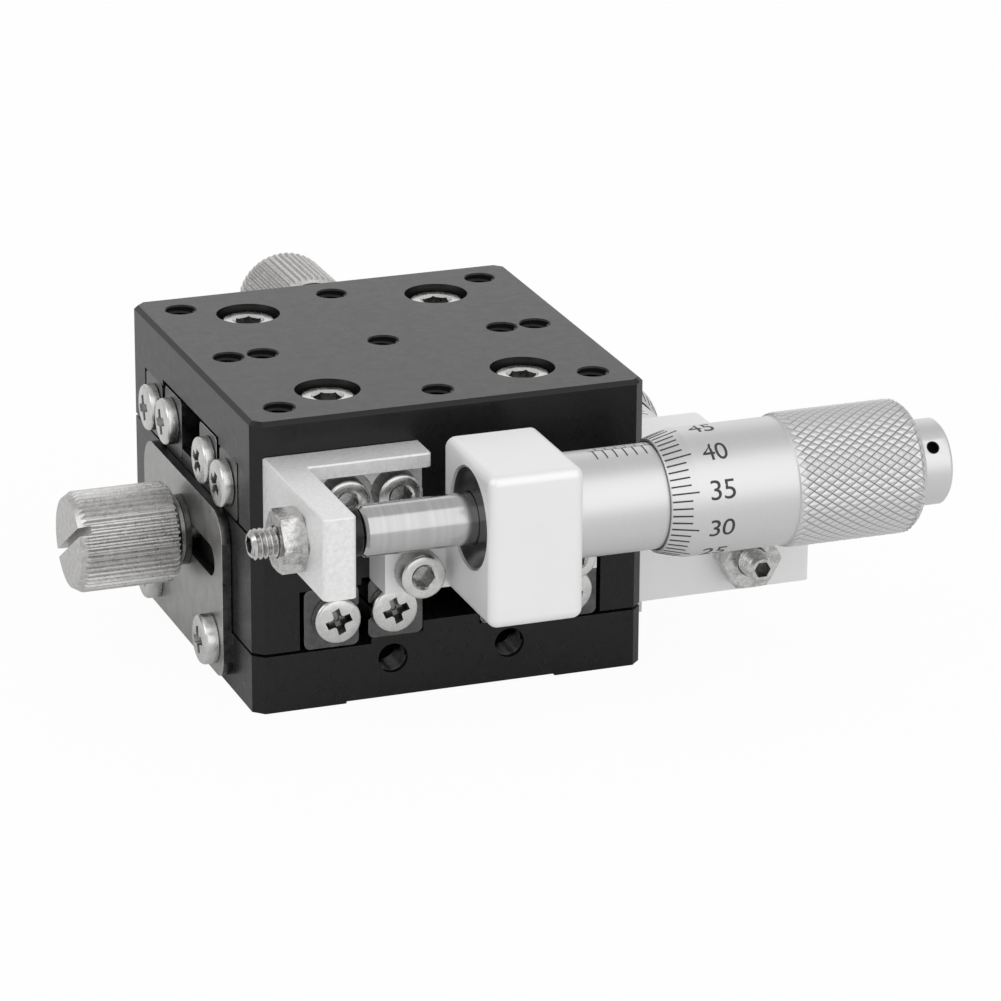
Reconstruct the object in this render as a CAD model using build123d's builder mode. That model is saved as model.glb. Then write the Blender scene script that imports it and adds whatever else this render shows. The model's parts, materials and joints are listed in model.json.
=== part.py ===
from build123d import *
import os

# Two-axis linear stage: three square members stacked, the middle one sliding along Y on the base
# and the table sliding along X on the middle. Both axes are the same stage module, the lower one
# turned a quarter turn. Each runs on crossed rollers and is driven by a micrometer head.
# Origin: centre of the base's underside. +X to the right along the front, +Y away, +Z up.

# Members
side = 40.0
base_thickness = 6.0
stage_height = 12.0
table_height = 11.6
seam_gap = 0.3
corner_cut = 1.0
edge_cut = 0.4
travel = 6.5

# Crossed roller guides: facing rails of one section, one of each pair the other way up
rail_width = 5.5
rail_height = 6.0
rail_gap = 1.0
rail_corner = 0.6
rail_clearance = 0.1
channel_half = 3.0
groove_offset = 2.8
groove_relief = 0.3
relief_width = 0.5
flange_gap = 0.45
seat_overlap = 0.3
rib_height = 1.6
rib_clearance = 0.1
recess_clearance = 0.3
roller_diameter = 2.0
roller_length = 1.9
roller_clearance = 0.02
roller_pitch = 3.5
rollers_per_cage = 8
cage_height = 4.4
cage_thickness = 0.4
window_clearance = 0.1

# Screws: radius of the thread, radius and height of the head, width of the key
m3_cap = {"thread": 1.5, "head": 2.75, "height": 3.0, "key": 2.5}
m25_cap = {"thread": 1.25, "head": 2.25, "height": 2.5, "key": 2.0}
m25_pan = {"thread": 1.25, "head": 2.5, "height": 1.5, "key": 2.7}
m2_pan = {"thread": 1.0, "head": 2.35, "height": 1.3, "key": 2.5}
thread_clearance = 0.05
shank_clearance = 0.2
head_clearance = 0.25
tip_clearance = 0.2
cross_width = 0.7
crown_taper = 25

# Fixing of the rails
outer_screw_spacing = 20.0
inner_screw_spacing = 10.0
rail_screw_back = 2.5
rail_thread = 4.0
outer_head_clearance = 0.45
outer_head_sink = 0.6
inner_head_sink = 0.3
end_screw_back = 3.1
end_screw_length = 5.0

# Mounting holes
table_hole_spacing = 32.0
table_row_spacing = 25.0
table_tap = 1.5
table_tap_depth = 3.5
tap_mouth = 1.62
base_hole_spacing = 32.0
base_hole = 1.7
base_hole_sink = 3.0
under_relief_width = 21.5
under_relief_length = 4.0
under_relief = 0.2
front_tap_spacing = 12.0
front_tap_height = 4.1
front_tap_depth = 6.0
blind_wall = 0.35

# Push bracket on the upper member of a stage: a foot on its front face and an arm
bracket_lift = 0.2
bracket_height = 8.0
arm_inset = 1.0
arm_thickness = 3.25
arm_margin = 7.2
foot_length = 15.6
foot_thickness = 4.0
lip_height = 1.4
lip_depth = 1.5
foot_web = 1.0
bracket_screw_end = 2.9
bracket_screw_pitch = 5.3
bracket_pocket = 2.9
bracket_round = 0.6
bracket_bevel = 0.15

# Anvil screw through the arm, its pad against the spindle, and its nut
anvil_radius = 1.5
anvil_tail = 4.9
anvil_cut = 0.4
anvil_key = 1.5
pad_radius = 2.4
pad_thickness = 2.0
pad_clearance = 0.5
pad_cut = 0.3
nut_width = 5.5
nut_thickness = 2.4
nut_bevel = 0.35

# Holder of the micrometer head on the lower member
axis_reach = 11.0
axis_height = 3.9
holder_width = 9.45
holder_wall = 1.0
holder_roof = 0.9
holder_drop = 5.35
holder_round = 1.0
holder_clearance = 0.6
holder_flange_width = 21.6
holder_flange_top = 0.25
holder_screw_spacing = 15.4
holder_screw_drop = 3.1

# Micrometer head
spindle_radius = 2.5
spindle_clearance = 0.05
spindle_reach = 10.9
spindle_cut = 0.3
anvil_gap = 0.05
stem_radius = 5.0
stem_sink = 0.8
fit_clearance = 0.02
sleeve_radius = 5.1
sleeve_showing = 8.95
sleeve_end_clearance = 2.0
thimble_length = 26.3
thimble_bore_gap = 0.15
thimble_edge_wall = 0.25
cone_length = 2.6
cone_rise = 0.7
grip_length = 13.5
grip_step = 0.4
grip_rise = 0.35
grip_cut = 0.9
thimble_wall = 4.4
cap_wall = 1.68
cap_length = 3.5
cap_cut = 0.3
cap_end_wall = 1.15
cap_hole = 0.65
cap_hole_depth = 1.4
cap_hole_turn = 39.0

# Travel lock: a slotted plate on the lower member, a knurled knob in the upper one
plate_thickness = 1.0
plate_end_wall = 2.4
plate_drop = 5.0
plate_setback = 0.8
plate_top_round = 3.0
plate_bottom_round = 2.0
plate_relief = 0.1
plate_screw_inset = 3.5
plate_screw_drop = 1.7
plate_screw_length = 5.5
lock_height = 6.3
slot_end_clearance = 2.6
slot_clearance = 0.1
stud_radius = 1.5
washer_gap = 0.05
washer_radius = 3.5
washer_thickness = 0.5
knob_neck_step = 1.7
knob_neck_length = 0.8
knob_radius = 5.0
knob_length = 10.3
knob_cut = 0.5
knob_cut_length = 0.85
knurl_depth = 0.25
knurl_teeth = 48
knob_slot_width = 0.85
knob_slot_depth = 1.2
knob_slot_turn = 32.0

# Return spring in the channel between the inner rails
post_x = 15.0
pin_x = -9.0
post_radius = 0.8
post_sink = 2.0
post_showing = 1.2
spring_height = 4.2
spring_radius = 1.9
spring_wire = 0.5
hook_length = 5.5
hook_clearance = 0.2

half = side / 2
table_top = base_thickness + stage_height + table_height
lower_top = -seam_gap / 2
upper_bottom = seam_gap / 2
guide_offset = channel_half + rail_width + rail_gap / 2
guide_height = rail_clearance + rail_height - groove_offset
outer_inside = guide_offset + rail_gap / 2
outer_outside = outer_inside + rail_width
inner_outside = guide_offset - rail_gap / 2
inner_inside = inner_outside - rail_width
outer_seat = guide_height + groove_offset
inner_seat = guide_height - groove_offset
flange_face = outer_outside + flange_gap
recess_top = inner_seat + rail_height + recess_clearance
outer_screw_y = outer_outside - rail_screw_back
inner_screw_y = inner_inside + rail_screw_back
groove_half = roller_diameter / 2 + roller_clearance
cage_length = rollers_per_cage * roller_pitch
tapped_depth = half - flange_face - blind_wall
thread_depth = tapped_depth - tip_clearance
axis_y = -(half + axis_reach)
arm_left = arm_inset - half
arm_right = arm_left + arm_thickness
foot_right = arm_left + foot_length
pad_start = arm_right + pad_clearance
anvil_tip = pad_start + pad_thickness
spindle_end = anvil_tip + anvil_gap
holder_left = spindle_end + spindle_reach
holder_right = holder_left + holder_width
holder_centre = holder_left + holder_width / 2
holder_back = half + foot_thickness + holder_clearance
thimble_edge = holder_right + sleeve_showing
thimble_end = thimble_edge + thimble_length
holder_front = half + axis_reach + stem_radius + holder_wall
holder_top = axis_height + stem_radius + holder_roof
sleeve_end = thimble_end - thimble_wall - travel - sleeve_end_clearance
thimble_bore = sleeve_radius + thimble_bore_gap
thimble_edge_radius = thimble_bore + thimble_edge_wall
thimble_radius = thimble_edge_radius + cone_rise
grip_radius = thimble_radius + grip_rise
spindle_fit = spindle_radius + fit_clearance
cap_radius = spindle_fit + cap_wall
slot_width = 2 * (stud_radius + slot_clearance)
slot_length = 2 * (travel + stud_radius + slot_end_clearance)
plate_length = slot_length + 2 * plate_end_wall
outer_screw_seat = table_height - outer_head_sink - m3_cap["height"]
inner_screw_rise = inner_head_sink + m3_cap["height"]
outer_rail_y = outer_inside + rail_width / 2
inner_rail_y = inner_inside + rail_width / 2
outer_rail_z = outer_seat - rail_height / 2
inner_rail_z = inner_seat + rail_height / 2
outer_end_y = outer_outside - end_screw_back
inner_end_y = inner_inside + end_screw_back

holder_screws = [
    (holder_centre - holder_screw_spacing / 2, -holder_screw_drop),
    (holder_centre + holder_screw_spacing / 2, -holder_screw_drop),
]
bracket_screws_at = [
    (foot_right - bracket_screw_end - bracket_screw_pitch, axis_height),
    (foot_right - bracket_screw_end, axis_height),
]
plate_screws_at = [
    (plate_screw_inset - plate_length / 2, -plate_screw_drop),
    (plate_length / 2 - plate_screw_inset, -plate_screw_drop),
]

# Each axis works in the frame of its own stage: x along the travel, toward the thimble,
# y across it, z up from the seam between its two members. The lower member of the upper stage
# and the upper member of the lower stage are one block, the middle.
stages = {
    "x": Plane(origin=(0, 0, base_thickness + stage_height), x_dir=(1, 0, 0), z_dir=(0, 0, 1)),
    "y": Plane(origin=(0, 0, base_thickness), x_dir=(0, 1, 0), z_dir=(0, 0, 1)),
}
floors = {"x": recess_top - stage_height, "y": -base_thickness}
ceilings = {"x": table_height, "y": stage_height + inner_seat}
plate_tops = {"x": table_height - plate_setback, "y": stage_height}
hands = {"right": -1, "left": 1}


def placed(stage, plane):
    return Plane(stage.location * plane.location)


def level(stage, z):
    return placed(stage, Plane.XY.offset(z))


def underside(stage, z):
    return placed(stage, Plane(origin=(0, 0, z), x_dir=(1, 0, 0), z_dir=(0, 0, -1)))


def front(stage, y, z=0):
    return placed(stage, Plane(origin=(0, y, z), x_dir=(1, 0, 0), z_dir=(0, -1, 0)))


def back(stage, y, z=0):
    return placed(stage, Plane(origin=(0, y, z), x_dir=(-1, 0, 0), z_dir=(0, 1, 0)))


# Faces along the travel when end is 1 and against it when end is -1
def across(stage, x, end=1):
    return placed(stage, Plane(origin=(x, 0, 0), x_dir=(0, end, 0), z_dir=(end, 0, 0)))


def save(piece, name):
    piece.part.label = name
    export_step(piece.part, f"parts/{name}.step")


# Square block between two heights, its four upright corners cut
def member_block(bottom, top):
    with BuildSketch(Plane.XY.offset(bottom)) as outline:
        Rectangle(side, side)
        chamfer(outline.vertices(), corner_cut)
    extrude(outline.sketch, amount=top - bottom)


# Lower half of a stage: the land that seats the inner rails, the rib that locates their backs
# and the holes for what is fixed to it
def lower_member(stage, floor):
    with BuildSketch(across(stage, -half)) as profile:
        with Locations((0, lower_top)):
            land = 2 * (inner_outside - seat_overlap)
            Rectangle(land, inner_seat - lower_top, align=(Align.CENTER, Align.MIN))
            rib = 2 * (channel_half - rib_clearance)
            Rectangle(2 * channel_half, inner_seat - lower_top, align=(Align.CENTER, Align.MIN))
            Rectangle(rib, rib_height - lower_top, align=(Align.CENTER, Align.MIN))
    extrude(profile.sketch, amount=side)
    with Locations(underside(stage, floor)):
        with GridLocations(inner_screw_spacing, 2 * inner_screw_y, 2, 2):
            CounterBoreHole(
                m3_cap["thread"] + shank_clearance,
                m3_cap["head"] + head_clearance,
                inner_screw_rise,
            )
    with Locations(front(stage, -half)):
        with Locations(*holder_screws):
            Hole(m25_cap["thread"] + thread_clearance, depth=tapped_depth)
    with Locations(back(stage, half)):
        with Locations(*plate_screws_at):
            Hole(m25_pan["thread"] + thread_clearance, depth=plate_screw_length)
    with Locations(level(stage, rib_height)):
        with Locations((post_x, 0)):
            Hole(post_radius, depth=post_sink)


# Upper half of a stage: the channel that straddles the lower one, and the holes in it
def upper_member(stage, ceiling):
    with BuildSketch(across(stage, -half)) as profile:
        with Locations((0, lower_top)):
            recess = 2 * (outer_inside - seat_overlap)
            Rectangle(2 * flange_face, outer_seat - lower_top, align=(Align.CENTER, Align.MIN))
            Rectangle(recess, recess_top - lower_top, align=(Align.CENTER, Align.MIN))
    extrude(profile.sketch, amount=side, mode=Mode.SUBTRACT)
    with Locations(level(stage, ceiling)):
        with GridLocations(outer_screw_spacing, 2 * outer_screw_y, 2, 2):
            CounterBoreHole(
                m3_cap["thread"] + shank_clearance,
                m3_cap["head"] + outer_head_clearance,
                ceiling - outer_screw_seat,
            )
    with Locations(front(stage, -half)):
        with Locations(*bracket_screws_at):
            Hole(m25_cap["thread"] + thread_clearance, depth=tapped_depth)
    with Locations(back(stage, half)):
        with Locations((0, lock_height)):
            Hole(stud_radius + thread_clearance, depth=tapped_depth)
    with Locations(underside(stage, recess_top)):
        with Locations((pin_x, 0)):
            Hole(post_radius, depth=post_sink)


# A rail: the groove faces the rollers, the screws hold it at its seat and at its ends
def guide_rail(stage, sign, middle_y, middle_z, spacing, screw_y, end_y):
    with BuildSketch(across(stage, -half)) as profile:
        with Locations((sign * middle_y, middle_z)):
            RectangleRounded(rail_width, rail_height, rail_corner)
        with Locations((sign * guide_offset, guide_height)):
            relief = 2 * (groove_half * 2**0.5 + groove_relief)
            Rectangle(2 * groove_half, 2 * groove_half, rotation=45, mode=Mode.SUBTRACT)
            Rectangle(relief, relief_width, mode=Mode.SUBTRACT)
    extrude(profile.sketch, amount=side)
    with Locations(level(stage, middle_z + rail_height)):
        with Locations((0, sign * screw_y)):
            with GridLocations(spacing, 1, 2, 1):
                Hole(m3_cap["thread"] + thread_clearance)
    for end in (-1, 1):
        with Locations(across(stage, end * half, end)):
            with Locations((end * sign * end_y, middle_z)):
                Hole(m2_pan["thread"] + thread_clearance, depth=end_screw_length + tip_clearance)


# Solid of revolution about the x direction of a plane, from the corners of its half section
def turned(plane, *corners, mode=Mode.ADD):
    with BuildSketch(plane) as section:
        with BuildLine():
            Polyline(*corners, close=True)
        make_face()
    revolve(section.sketch, axis=Axis(plane.origin, plane.x_dir), mode=mode)


# Discs of one radius at several places, raised from a plane or sunk below it
def studs(plane, places, radius, amount, taper=0):
    with BuildSketch(plane) as discs:
        with Locations(*places):
            Circle(radius)
    extrude(discs.sketch, amount=amount, taper=taper)


# Socket cap screws standing on a seat plane
def cap_screws(seat, places, size, length):
    studs(seat, places, size["head"], size["height"])
    studs(seat, places, size["thread"], -length)
    with BuildSketch(seat.offset(size["height"])) as sockets:
        with Locations(*places):
            RegularPolygon(size["key"] / 2, 6, major_radius=False)
    extrude(sockets.sketch, amount=-size["height"] / 2, mode=Mode.SUBTRACT)


# Cross recessed pan screws standing on a seat plane
def pan_screws(seat, places, size, length):
    crown = size["height"] / 2
    studs(seat, places, size["head"], crown)
    studs(seat.offset(crown), places, size["head"], crown, crown_taper)
    studs(seat, places, size["thread"], -length)
    with BuildSketch(seat.offset(size["height"])) as crosses:
        with Locations(*places):
            Rectangle(size["key"], cross_width)
            Rectangle(cross_width, size["key"])
    extrude(crosses.sketch, amount=-crown, mode=Mode.SUBTRACT)


def both_sides(y, z):
    return [(-y, z), (y, z)]


os.makedirs("parts", exist_ok=True)

# Base: underside with a shallow relief at its front and back edges, fixing holes at the corners
# and two taps in the front face
with BuildPart() as base:
    member_block(0, base_thickness + lower_top)
    lower_member(stages["y"], floors["y"])
    with Locations(Plane.XY.offset(base_thickness + lower_top)):
        with GridLocations(base_hole_spacing, base_hole_spacing, 2, 2):
            CounterBoreHole(base_hole, m3_cap["head"] + head_clearance, base_hole_sink)
    with Locations(Plane.XZ.offset(half)):
        with Locations((0, front_tap_height)):
            with GridLocations(front_tap_spacing, 1, 2, 1):
                Hole(table_tap, depth=front_tap_depth)
    with BuildSketch() as reliefs:
        with GridLocations(1, side - under_relief_length, 1, 2):
            Rectangle(under_relief_width, under_relief_length)
    extrude(reliefs.sketch, amount=under_relief, mode=Mode.SUBTRACT)
save(base, "base")

# Middle: upper half of the Y stage and lower half of the X stage in one block
with BuildPart() as middle:
    member_block(base_thickness + upper_bottom, base_thickness + stage_height + lower_top)
    lower_member(stages["x"], floors["x"])
    upper_member(stages["y"], ceilings["y"])
save(middle, "middle")

# Table: upper half of the X stage, with the tapped mounting holes in its top face
with BuildPart() as table:
    member_block(base_thickness + stage_height + upper_bottom, table_top)
    chamfer(table.faces().sort_by(Axis.Z)[-1].edges(), edge_cut)
    upper_member(stages["x"], ceilings["x"])
    with Locations(Plane.XY.offset(table_top)):
        with GridLocations(table_hole_spacing / 2, table_hole_spacing, 3, 2):
            CounterSinkHole(table_tap, tap_mouth, table_tap_depth)
        with GridLocations(table_hole_spacing / 2, 1, 3, 1):
            CounterSinkHole(table_tap, tap_mouth, table_height - recess_top)
        with GridLocations(table_row_spacing, 1, 2, 1):
            CounterSinkHole(table_tap, tap_mouth, table_height - recess_top)
save(table, "table")

for axis, stage in stages.items():
    # Guides: two rails, a cage and its rollers on each side of the stage
    for hand, sign in hands.items():
        with BuildPart() as outer_rail:
            row = (outer_screw_spacing, outer_screw_y, outer_end_y)
            guide_rail(stage, sign, outer_rail_y, outer_rail_z, *row)
        save(outer_rail, f"{axis}_outer_rail_{hand}")

        with BuildPart() as inner_rail:
            row = (inner_screw_spacing, inner_screw_y, inner_end_y)
            guide_rail(stage, sign, inner_rail_y, inner_rail_z, *row)
        save(inner_rail, f"{axis}_inner_rail_{hand}")

        with BuildPart() as cage:
            with BuildSketch(front(stage, sign * guide_offset + cage_thickness / 2)):
                with Locations((0, guide_height)):
                    Rectangle(cage_length, cage_height)
                    with GridLocations(roller_pitch, 1, rollers_per_cage, 1):
                        window = (roller_diameter + roller_length) / 2**0.5
                        Rectangle(
                            roller_diameter + 2 * window_clearance,
                            window + 2 * window_clearance,
                            mode=Mode.SUBTRACT,
                        )
            extrude(amount=cage_thickness)
        save(cage, f"{axis}_cage_{hand}")

    with BuildPart() as rollers:
        for sign in hands.values():
            for i in range(rollers_per_cage):
                x = (i - (rollers_per_cage - 1) / 2) * roller_pitch
                lean = 1 if i % 2 else -1
                centre = (x, sign * guide_offset, guide_height)
                crossed = placed(stage, Plane(origin=centre, x_dir=(1, 0, 0), z_dir=(0, lean, 1)))
                with BuildSketch(crossed.offset(-roller_length / 2)):
                    Circle(roller_diameter / 2)
                extrude(amount=roller_length)
    save(rollers, f"{axis}_rollers")

    # Screws of the rails
    end_rows = {"outer": (outer_end_y, outer_rail_z), "inner": (inner_end_y, inner_rail_z)}
    for name, (y, z) in end_rows.items():
        with BuildPart() as end_screws:
            for end in (-1, 1):
                pan_screws(across(stage, end * half, end), both_sides(y, z), m2_pan, end_screw_length)
        save(end_screws, f"{axis}_{name}_end_screws")

    with BuildPart() as outer_rail_screws:
        seat = level(stage, outer_screw_seat)
        places = GridLocations(outer_screw_spacing, 2 * outer_screw_y, 2, 2).local_locations
        cap_screws(seat, places, m3_cap, outer_screw_seat - outer_seat + rail_thread)
    save(outer_rail_screws, f"{axis}_outer_rail_screws")

    with BuildPart() as inner_rail_screws:
        seat = floors[axis] + inner_screw_rise
        places = GridLocations(inner_screw_spacing, 2 * inner_screw_y, 2, 2).local_locations
        cap_screws(underside(stage, seat), places, m3_cap, inner_seat - seat + rail_thread)
    save(inner_rail_screws, f"{axis}_inner_rail_screws")

    # Push bracket: foot with a lip over its screw pockets, arm with the anvil screw
    with BuildPart() as push_bracket:
        across_travel = Axis(stage.origin, stage.y_dir)
        with BuildSketch(level(stage, bracket_lift)):
            with BuildLine():
                Polyline(
                    (arm_left, -half),
                    (foot_right, -half),
                    (foot_right, -half - foot_thickness),
                    (arm_right, -half - foot_thickness),
                    (arm_right, axis_y - arm_margin),
                    (arm_left, axis_y - arm_margin),
                    close=True,
                )
            make_face()
        extrude(amount=bracket_height)
        uprights = push_bracket.edges().filter_by(Axis.Z).group_by(across_travel)
        foot_corner = uprights[1].sort_by(Axis(stage.origin, stage.x_dir))[-1]
        fillet([*uprights[0], foot_corner], bracket_round)
        chamfer(push_bracket.faces().sort_by(Axis.Z)[-1].edges(), bracket_bevel)
        with BuildSketch(front(stage, -half - foot_thickness, bracket_lift)):
            with Locations((arm_right, 0)):
                Rectangle(
                    foot_right - arm_right,
                    bracket_height - lip_height,
                    align=(Align.MIN, Align.MIN),
                )
        extrude(amount=-lip_depth, mode=Mode.SUBTRACT)
        with BuildSketch(front(stage, -half - foot_web)):
            with Locations(*bracket_screws_at):
                Circle(bracket_pocket)
            with Locations(bracket_screws_at[-1]):
                Rectangle(foot_length, 2 * bracket_pocket, align=(Align.MIN, Align.CENTER))
        extrude(amount=foot_thickness - foot_web - lip_depth, mode=Mode.SUBTRACT)
        with Locations(front(stage, -half - foot_thickness)):
            with Locations(*bracket_screws_at):
                Hole(m25_cap["thread"] + shank_clearance, depth=foot_thickness)
        with Locations(across(stage, arm_right)):
            with Locations((axis_y, axis_height)):
                Hole(anvil_radius + thread_clearance, depth=arm_thickness)
    save(push_bracket, f"{axis}_push_bracket")

    with BuildPart() as bracket_screws:
        seat = front(stage, -half - foot_web)
        cap_screws(seat, bracket_screws_at, m25_cap, foot_web + thread_depth)
    save(bracket_screws, f"{axis}_bracket_screws")

    # Turned pieces lie on the spindle's axis, x along the travel and the radius as y
    spindle_line = front(stage, axis_y, axis_height)
    with BuildPart() as anvil_screw:
        tail = arm_left - anvil_tail
        turned(
            spindle_line,
            (tail, 0),
            (tail, anvil_radius - anvil_cut),
            (tail + anvil_cut, anvil_radius),
            (pad_start, anvil_radius),
            (pad_start, pad_radius),
            (anvil_tip - pad_cut, pad_radius),
            (anvil_tip, pad_radius - pad_cut),
            (anvil_tip, 0),
        )
        with BuildSketch(across(stage, tail)):
            with Locations((axis_y, axis_height)):
                RegularPolygon(anvil_key / 2, 6, major_radius=False)
        extrude(amount=anvil_key, mode=Mode.SUBTRACT)
    save(anvil_screw, f"{axis}_anvil_screw")

    with BuildPart() as anvil_nut:
        outer = arm_left - nut_thickness
        with BuildSketch(across(stage, outer)):
            with Locations((axis_y, axis_height)):
                RegularPolygon(nut_width / 2, 6, major_radius=False)
                Circle(anvil_radius + thread_clearance, mode=Mode.SUBTRACT)
        extrude(amount=nut_thickness)
        corner = nut_width / 3**0.5
        turned(
            spindle_line,
            (outer, 0),
            (outer, corner - nut_bevel),
            (outer + nut_bevel / 2, corner),
            (arm_left - nut_bevel / 2, corner),
            (arm_left, corner - nut_bevel),
            (arm_left, 0),
            mode=Mode.INTERSECT,
        )
    save(anvil_nut, f"{axis}_anvil_nut")

    # Holder: rounded block round the stem, on a flange that is screwed to the lower member
    with BuildPart() as micrometer_holder:
        with BuildSketch(front(stage, -holder_back, -holder_drop)):
            with Locations((holder_centre, 0)):
                height = holder_drop + holder_top
                Rectangle(holder_width, height, align=(Align.CENTER, Align.MIN))
        extrude(amount=holder_front - holder_back)
        across_travel = Axis(stage.origin, stage.y_dir)
        seat_edges = micrometer_holder.faces().sort_by(across_travel)[-1].edges()
        fillet(micrometer_holder.edges() - seat_edges, holder_round)
        with BuildSketch(front(stage, -half)):
            with Locations((holder_centre, -holder_drop)):
                flange_height = holder_drop - holder_flange_top
                Rectangle(holder_flange_width, flange_height, align=(Align.CENTER, Align.MIN))
        extrude(amount=holder_back - half)
        with Locations(across(stage, holder_right)):
            with Locations((axis_y, axis_height)):
                Hole(stem_radius + fit_clearance, depth=holder_width)
        with Locations(front(stage, -holder_back)):
            with Locations(*holder_screws):
                Hole(m25_cap["thread"] + shank_clearance, depth=holder_back - half)
    save(micrometer_holder, f"{axis}_micrometer_holder")

    with BuildPart() as holder_screw_pair:
        length = holder_back - half + thread_depth
        cap_screws(front(stage, -holder_back), holder_screws, m25_cap, length)
    save(holder_screw_pair, f"{axis}_holder_screws")

    # Micrometer head: the sleeve is clamped by its stem, the rest turns and moves along
    with BuildPart() as sleeve:
        bore = spindle_radius + spindle_clearance
        turned(
            spindle_line,
            (holder_left + stem_sink, bore),
            (holder_left + stem_sink, stem_radius),
            (holder_right, stem_radius),
            (holder_right, sleeve_radius),
            (sleeve_end, sleeve_radius),
            (sleeve_end, bore),
        )
    save(sleeve, f"{axis}_sleeve")

    with BuildPart() as spindle:
        spindle_tail = thimble_end + cap_length - cap_end_wall - spindle_clearance
        turned(
            spindle_line,
            (spindle_end, 0),
            (spindle_end, spindle_radius - spindle_cut),
            (spindle_end + spindle_cut, spindle_radius),
            (spindle_tail, spindle_radius),
            (spindle_tail, 0),
        )
    save(spindle, f"{axis}_spindle")

    with BuildPart() as thimble:
        grip_start = thimble_end - grip_length
        turned(
            spindle_line,
            (thimble_edge, thimble_bore),
            (thimble_edge, thimble_edge_radius),
            (thimble_edge + cone_length, thimble_radius),
            (grip_start, thimble_radius),
            (grip_start + grip_step, grip_radius),
            (thimble_end - grip_cut, grip_radius),
            (thimble_end, grip_radius - grip_cut),
            (thimble_end, spindle_fit),
            (thimble_end - thimble_wall, spindle_fit),
            (thimble_end - thimble_wall, thimble_bore),
        )
    save(thimble, f"{axis}_thimble")

    with BuildPart() as thimble_cap:
        cap_end = thimble_end + cap_length
        turned(
            spindle_line,
            (thimble_end, spindle_fit),
            (thimble_end, cap_radius),
            (cap_end - cap_cut, cap_radius),
            (cap_end, cap_radius - cap_cut),
            (cap_end, 0),
            (cap_end - cap_end_wall, 0),
            (cap_end - cap_end_wall, spindle_fit),
        )
        facing = Vector(0, -1, 0).rotate(Axis.X, -cap_hole_turn)
        origin = (0, axis_y, axis_height)
        leaning = placed(stage, Plane(origin=origin, x_dir=(1, 0, 0), z_dir=facing))
        with BuildSketch(leaning.offset(cap_radius)):
            with Locations((thimble_end + cap_length / 2 - cap_cut / 2, 0)):
                Circle(cap_hole)
        extrude(amount=-cap_hole_depth, mode=Mode.SUBTRACT)
    save(thimble_cap, f"{axis}_thimble_cap")

    # Travel lock
    with BuildPart() as lock_plate:
        with BuildSketch(back(stage, half, -plate_drop)) as outline:
            plate_height = plate_drop + plate_tops[axis]
            Rectangle(plate_length, plate_height, align=(Align.CENTER, Align.MIN))
            fillet(outline.vertices().group_by(Axis.Y)[0], plate_bottom_round)
            fillet(outline.vertices().group_by(Axis.Y)[-1], plate_top_round)
            with Locations((0, plate_drop + lock_height)):
                SlotOverall(slot_length, slot_width, mode=Mode.SUBTRACT)
        extrude(amount=plate_thickness)
        with BuildSketch(back(stage, half, lower_top)):
            Rectangle(plate_length, 2 * stage_height, align=(Align.CENTER, Align.MIN))
        extrude(amount=plate_relief, mode=Mode.SUBTRACT)
        with Locations(back(stage, half + plate_thickness)):
            with Locations(*plate_screws_at):
                Hole(m25_pan["thread"] + shank_clearance, depth=plate_thickness)
    save(lock_plate, f"{axis}_lock_plate")

    with BuildPart() as lock_plate_screws:
        seat = back(stage, half + plate_thickness)
        pan_screws(seat, plate_screws_at, m25_pan, plate_screw_length)
    save(lock_plate_screws, f"{axis}_lock_plate_screws")

    # The knob's axis runs out of the back face
    knob_line = placed(
        stage, Plane(origin=(0, 0, lock_height), x_dir=(0, 1, 0), z_dir=(1, 0, 0))
    )
    washer_face = half + plate_thickness + washer_gap
    neck_start = washer_face + washer_thickness
    knurl_start = neck_start + knob_neck_length
    knob_end = knurl_start + knob_length
    with BuildPart() as lock_washer:
        with BuildSketch(back(stage, washer_face, lock_height)):
            Circle(washer_radius)
            Circle(stud_radius + slot_clearance, mode=Mode.SUBTRACT)
        extrude(amount=washer_thickness)
    save(lock_washer, f"{axis}_lock_washer")

    with BuildPart() as lock_knob:
        teeth = [
            Vector(knob_radius - knurl_depth * (i % 2), 0).rotate(Axis.Z, 180 * i / knurl_teeth)
            for i in range(2 * knurl_teeth)
        ]
        with BuildSketch(back(stage, knurl_start, lock_height)):
            with BuildLine():
                Polyline(*teeth, close=True)
            make_face()
        extrude(amount=knob_length)
        turned(
            knob_line,
            (knurl_start, 0),
            (knurl_start, knob_radius - knob_cut),
            (knurl_start + knob_cut, knob_radius),
            (knob_end - knob_cut_length, knob_radius),
            (knob_end, knob_radius - knob_cut),
            (knob_end, 0),
            mode=Mode.INTERSECT,
        )
        turned(
            knob_line,
            (half - thread_depth, 0),
            (half - thread_depth, stud_radius),
            (neck_start, stud_radius),
            (neck_start, stud_radius + knob_neck_step),
            (knurl_start, stud_radius + knob_neck_step),
            (knurl_start, 0),
        )
        with BuildSketch(back(stage, knob_end, lock_height)):
            Rectangle(3 * knob_radius, knob_slot_width, rotation=knob_slot_turn)
        extrude(amount=-knob_slot_depth, mode=Mode.SUBTRACT)
    save(lock_knob, f"{axis}_lock_knob")

    # Return spring between a post in the lower member and a pin in the upper one
    with BuildPart() as spring_post:
        with BuildSketch(level(stage, rib_height - post_sink)):
            with Locations((post_x, 0)):
                Circle(post_radius)
        extrude(amount=post_sink - rib_height + spring_height + post_showing)
    save(spring_post, f"{axis}_spring_post")

    with BuildPart() as spring_pin:
        with BuildSketch(underside(stage, recess_top + post_sink)):
            with Locations((pin_x, 0)):
                Circle(post_radius)
        extrude(amount=post_sink + recess_top - spring_height + post_showing)
    save(spring_pin, f"{axis}_spring_pin")

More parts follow.
